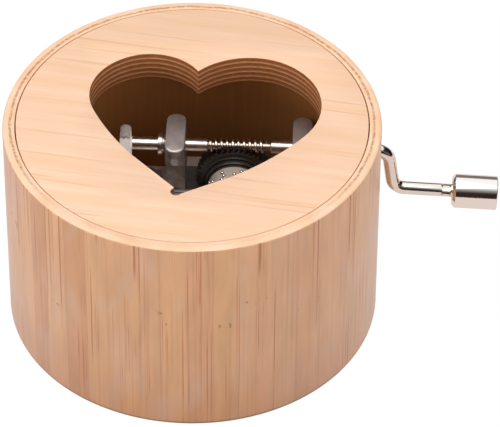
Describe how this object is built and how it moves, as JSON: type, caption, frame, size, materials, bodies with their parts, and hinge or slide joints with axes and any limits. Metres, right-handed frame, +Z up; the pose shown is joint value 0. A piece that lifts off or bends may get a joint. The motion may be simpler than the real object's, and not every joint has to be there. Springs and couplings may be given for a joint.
{
  "type": "hand-cranked music box",
  "caption": "Round bamboo music box with a heart-shaped window in its lid; a side crank turns a worm, a wheel and a pinned drum that plucks a steel comb.",
  "frame": {"origin": "centre of the underside of the case, on the surface it stands on", "axes": "+X along the crank shaft towards the knob, +Y away from the viewer, +Z up through the lid"},
  "size_m": [0.0996, 0.075, 0.047],
  "materials": {
    "bamboo_wall": "sanded carbonised bamboo strips, clear satin",
    "plywood": "sanded pale bamboo face veneer, clear satin",
    "cast_frame": "as-cast zinc alloy, tumbled",
    "comb_steel": "ground spring steel",
    "stop_plastic": "moulded acetal, light grey",
    "bracket_steel": "zinc-plated sheet",
    "wheel_plastic": "moulded black acetal",
    "plated_drum": "polished nickel plate",
    "bright_steel": "bright drawn steel",
    "plated_wire": "polished nickel plate",
    "plated_knob": "polished nickel plate",
    "screw_steel": "zinc plated"
  },
  "bodies": {
    "case": {"side_wall": "bamboo_wall", "lid": "plywood", "floor_disc": "plywood", "movement_frame": "cast_frame", "comb": "comb_steel", "comb_base": "comb_steel", "end_stop": "stop_plastic", "drum_bracket": "bracket_steel", "frame_screws": "screw_steel", "comb_screws": "screw_steel", "stop_screw": "screw_steel", "bracket_screws": "screw_steel"},
    "crank": {"crank_shaft": "plated_wire", "shaft_collar": "plated_wire", "knob_rivet": "plated_wire"},
    "knob": {"crank_knob": "plated_knob"},
    "drum": {"worm_wheel": "wheel_plastic", "pinned_drum": "plated_drum", "drum_cap": "plated_drum", "drum_arbor": "bright_steel"}
  },
  "joints": [
    {"name": "crank_turn", "type": "hinge", "parent": "case", "child": "crank", "pos_m": [0, 0.0171, 0.026], "axis": [1, 0, 0], "continuous": true},
    {"name": "drum_turn", "type": "hinge", "parent": "case", "child": "drum", "pos_m": [0.0079, 0.0171, 0.01711], "axis": [0, 1, 0], "continuous": true},
    {"name": "knob_spin", "type": "hinge", "parent": "crank", "child": "knob", "pos_m": [0.0405, 0.0171, 0.01595], "axis": [0.9992, 0, -0.0401], "continuous": true}
  ],
  "couplings": [
    {"joint": "drum_turn", "follows": "crank_turn", "ratio": -0.02381}
  ]
}
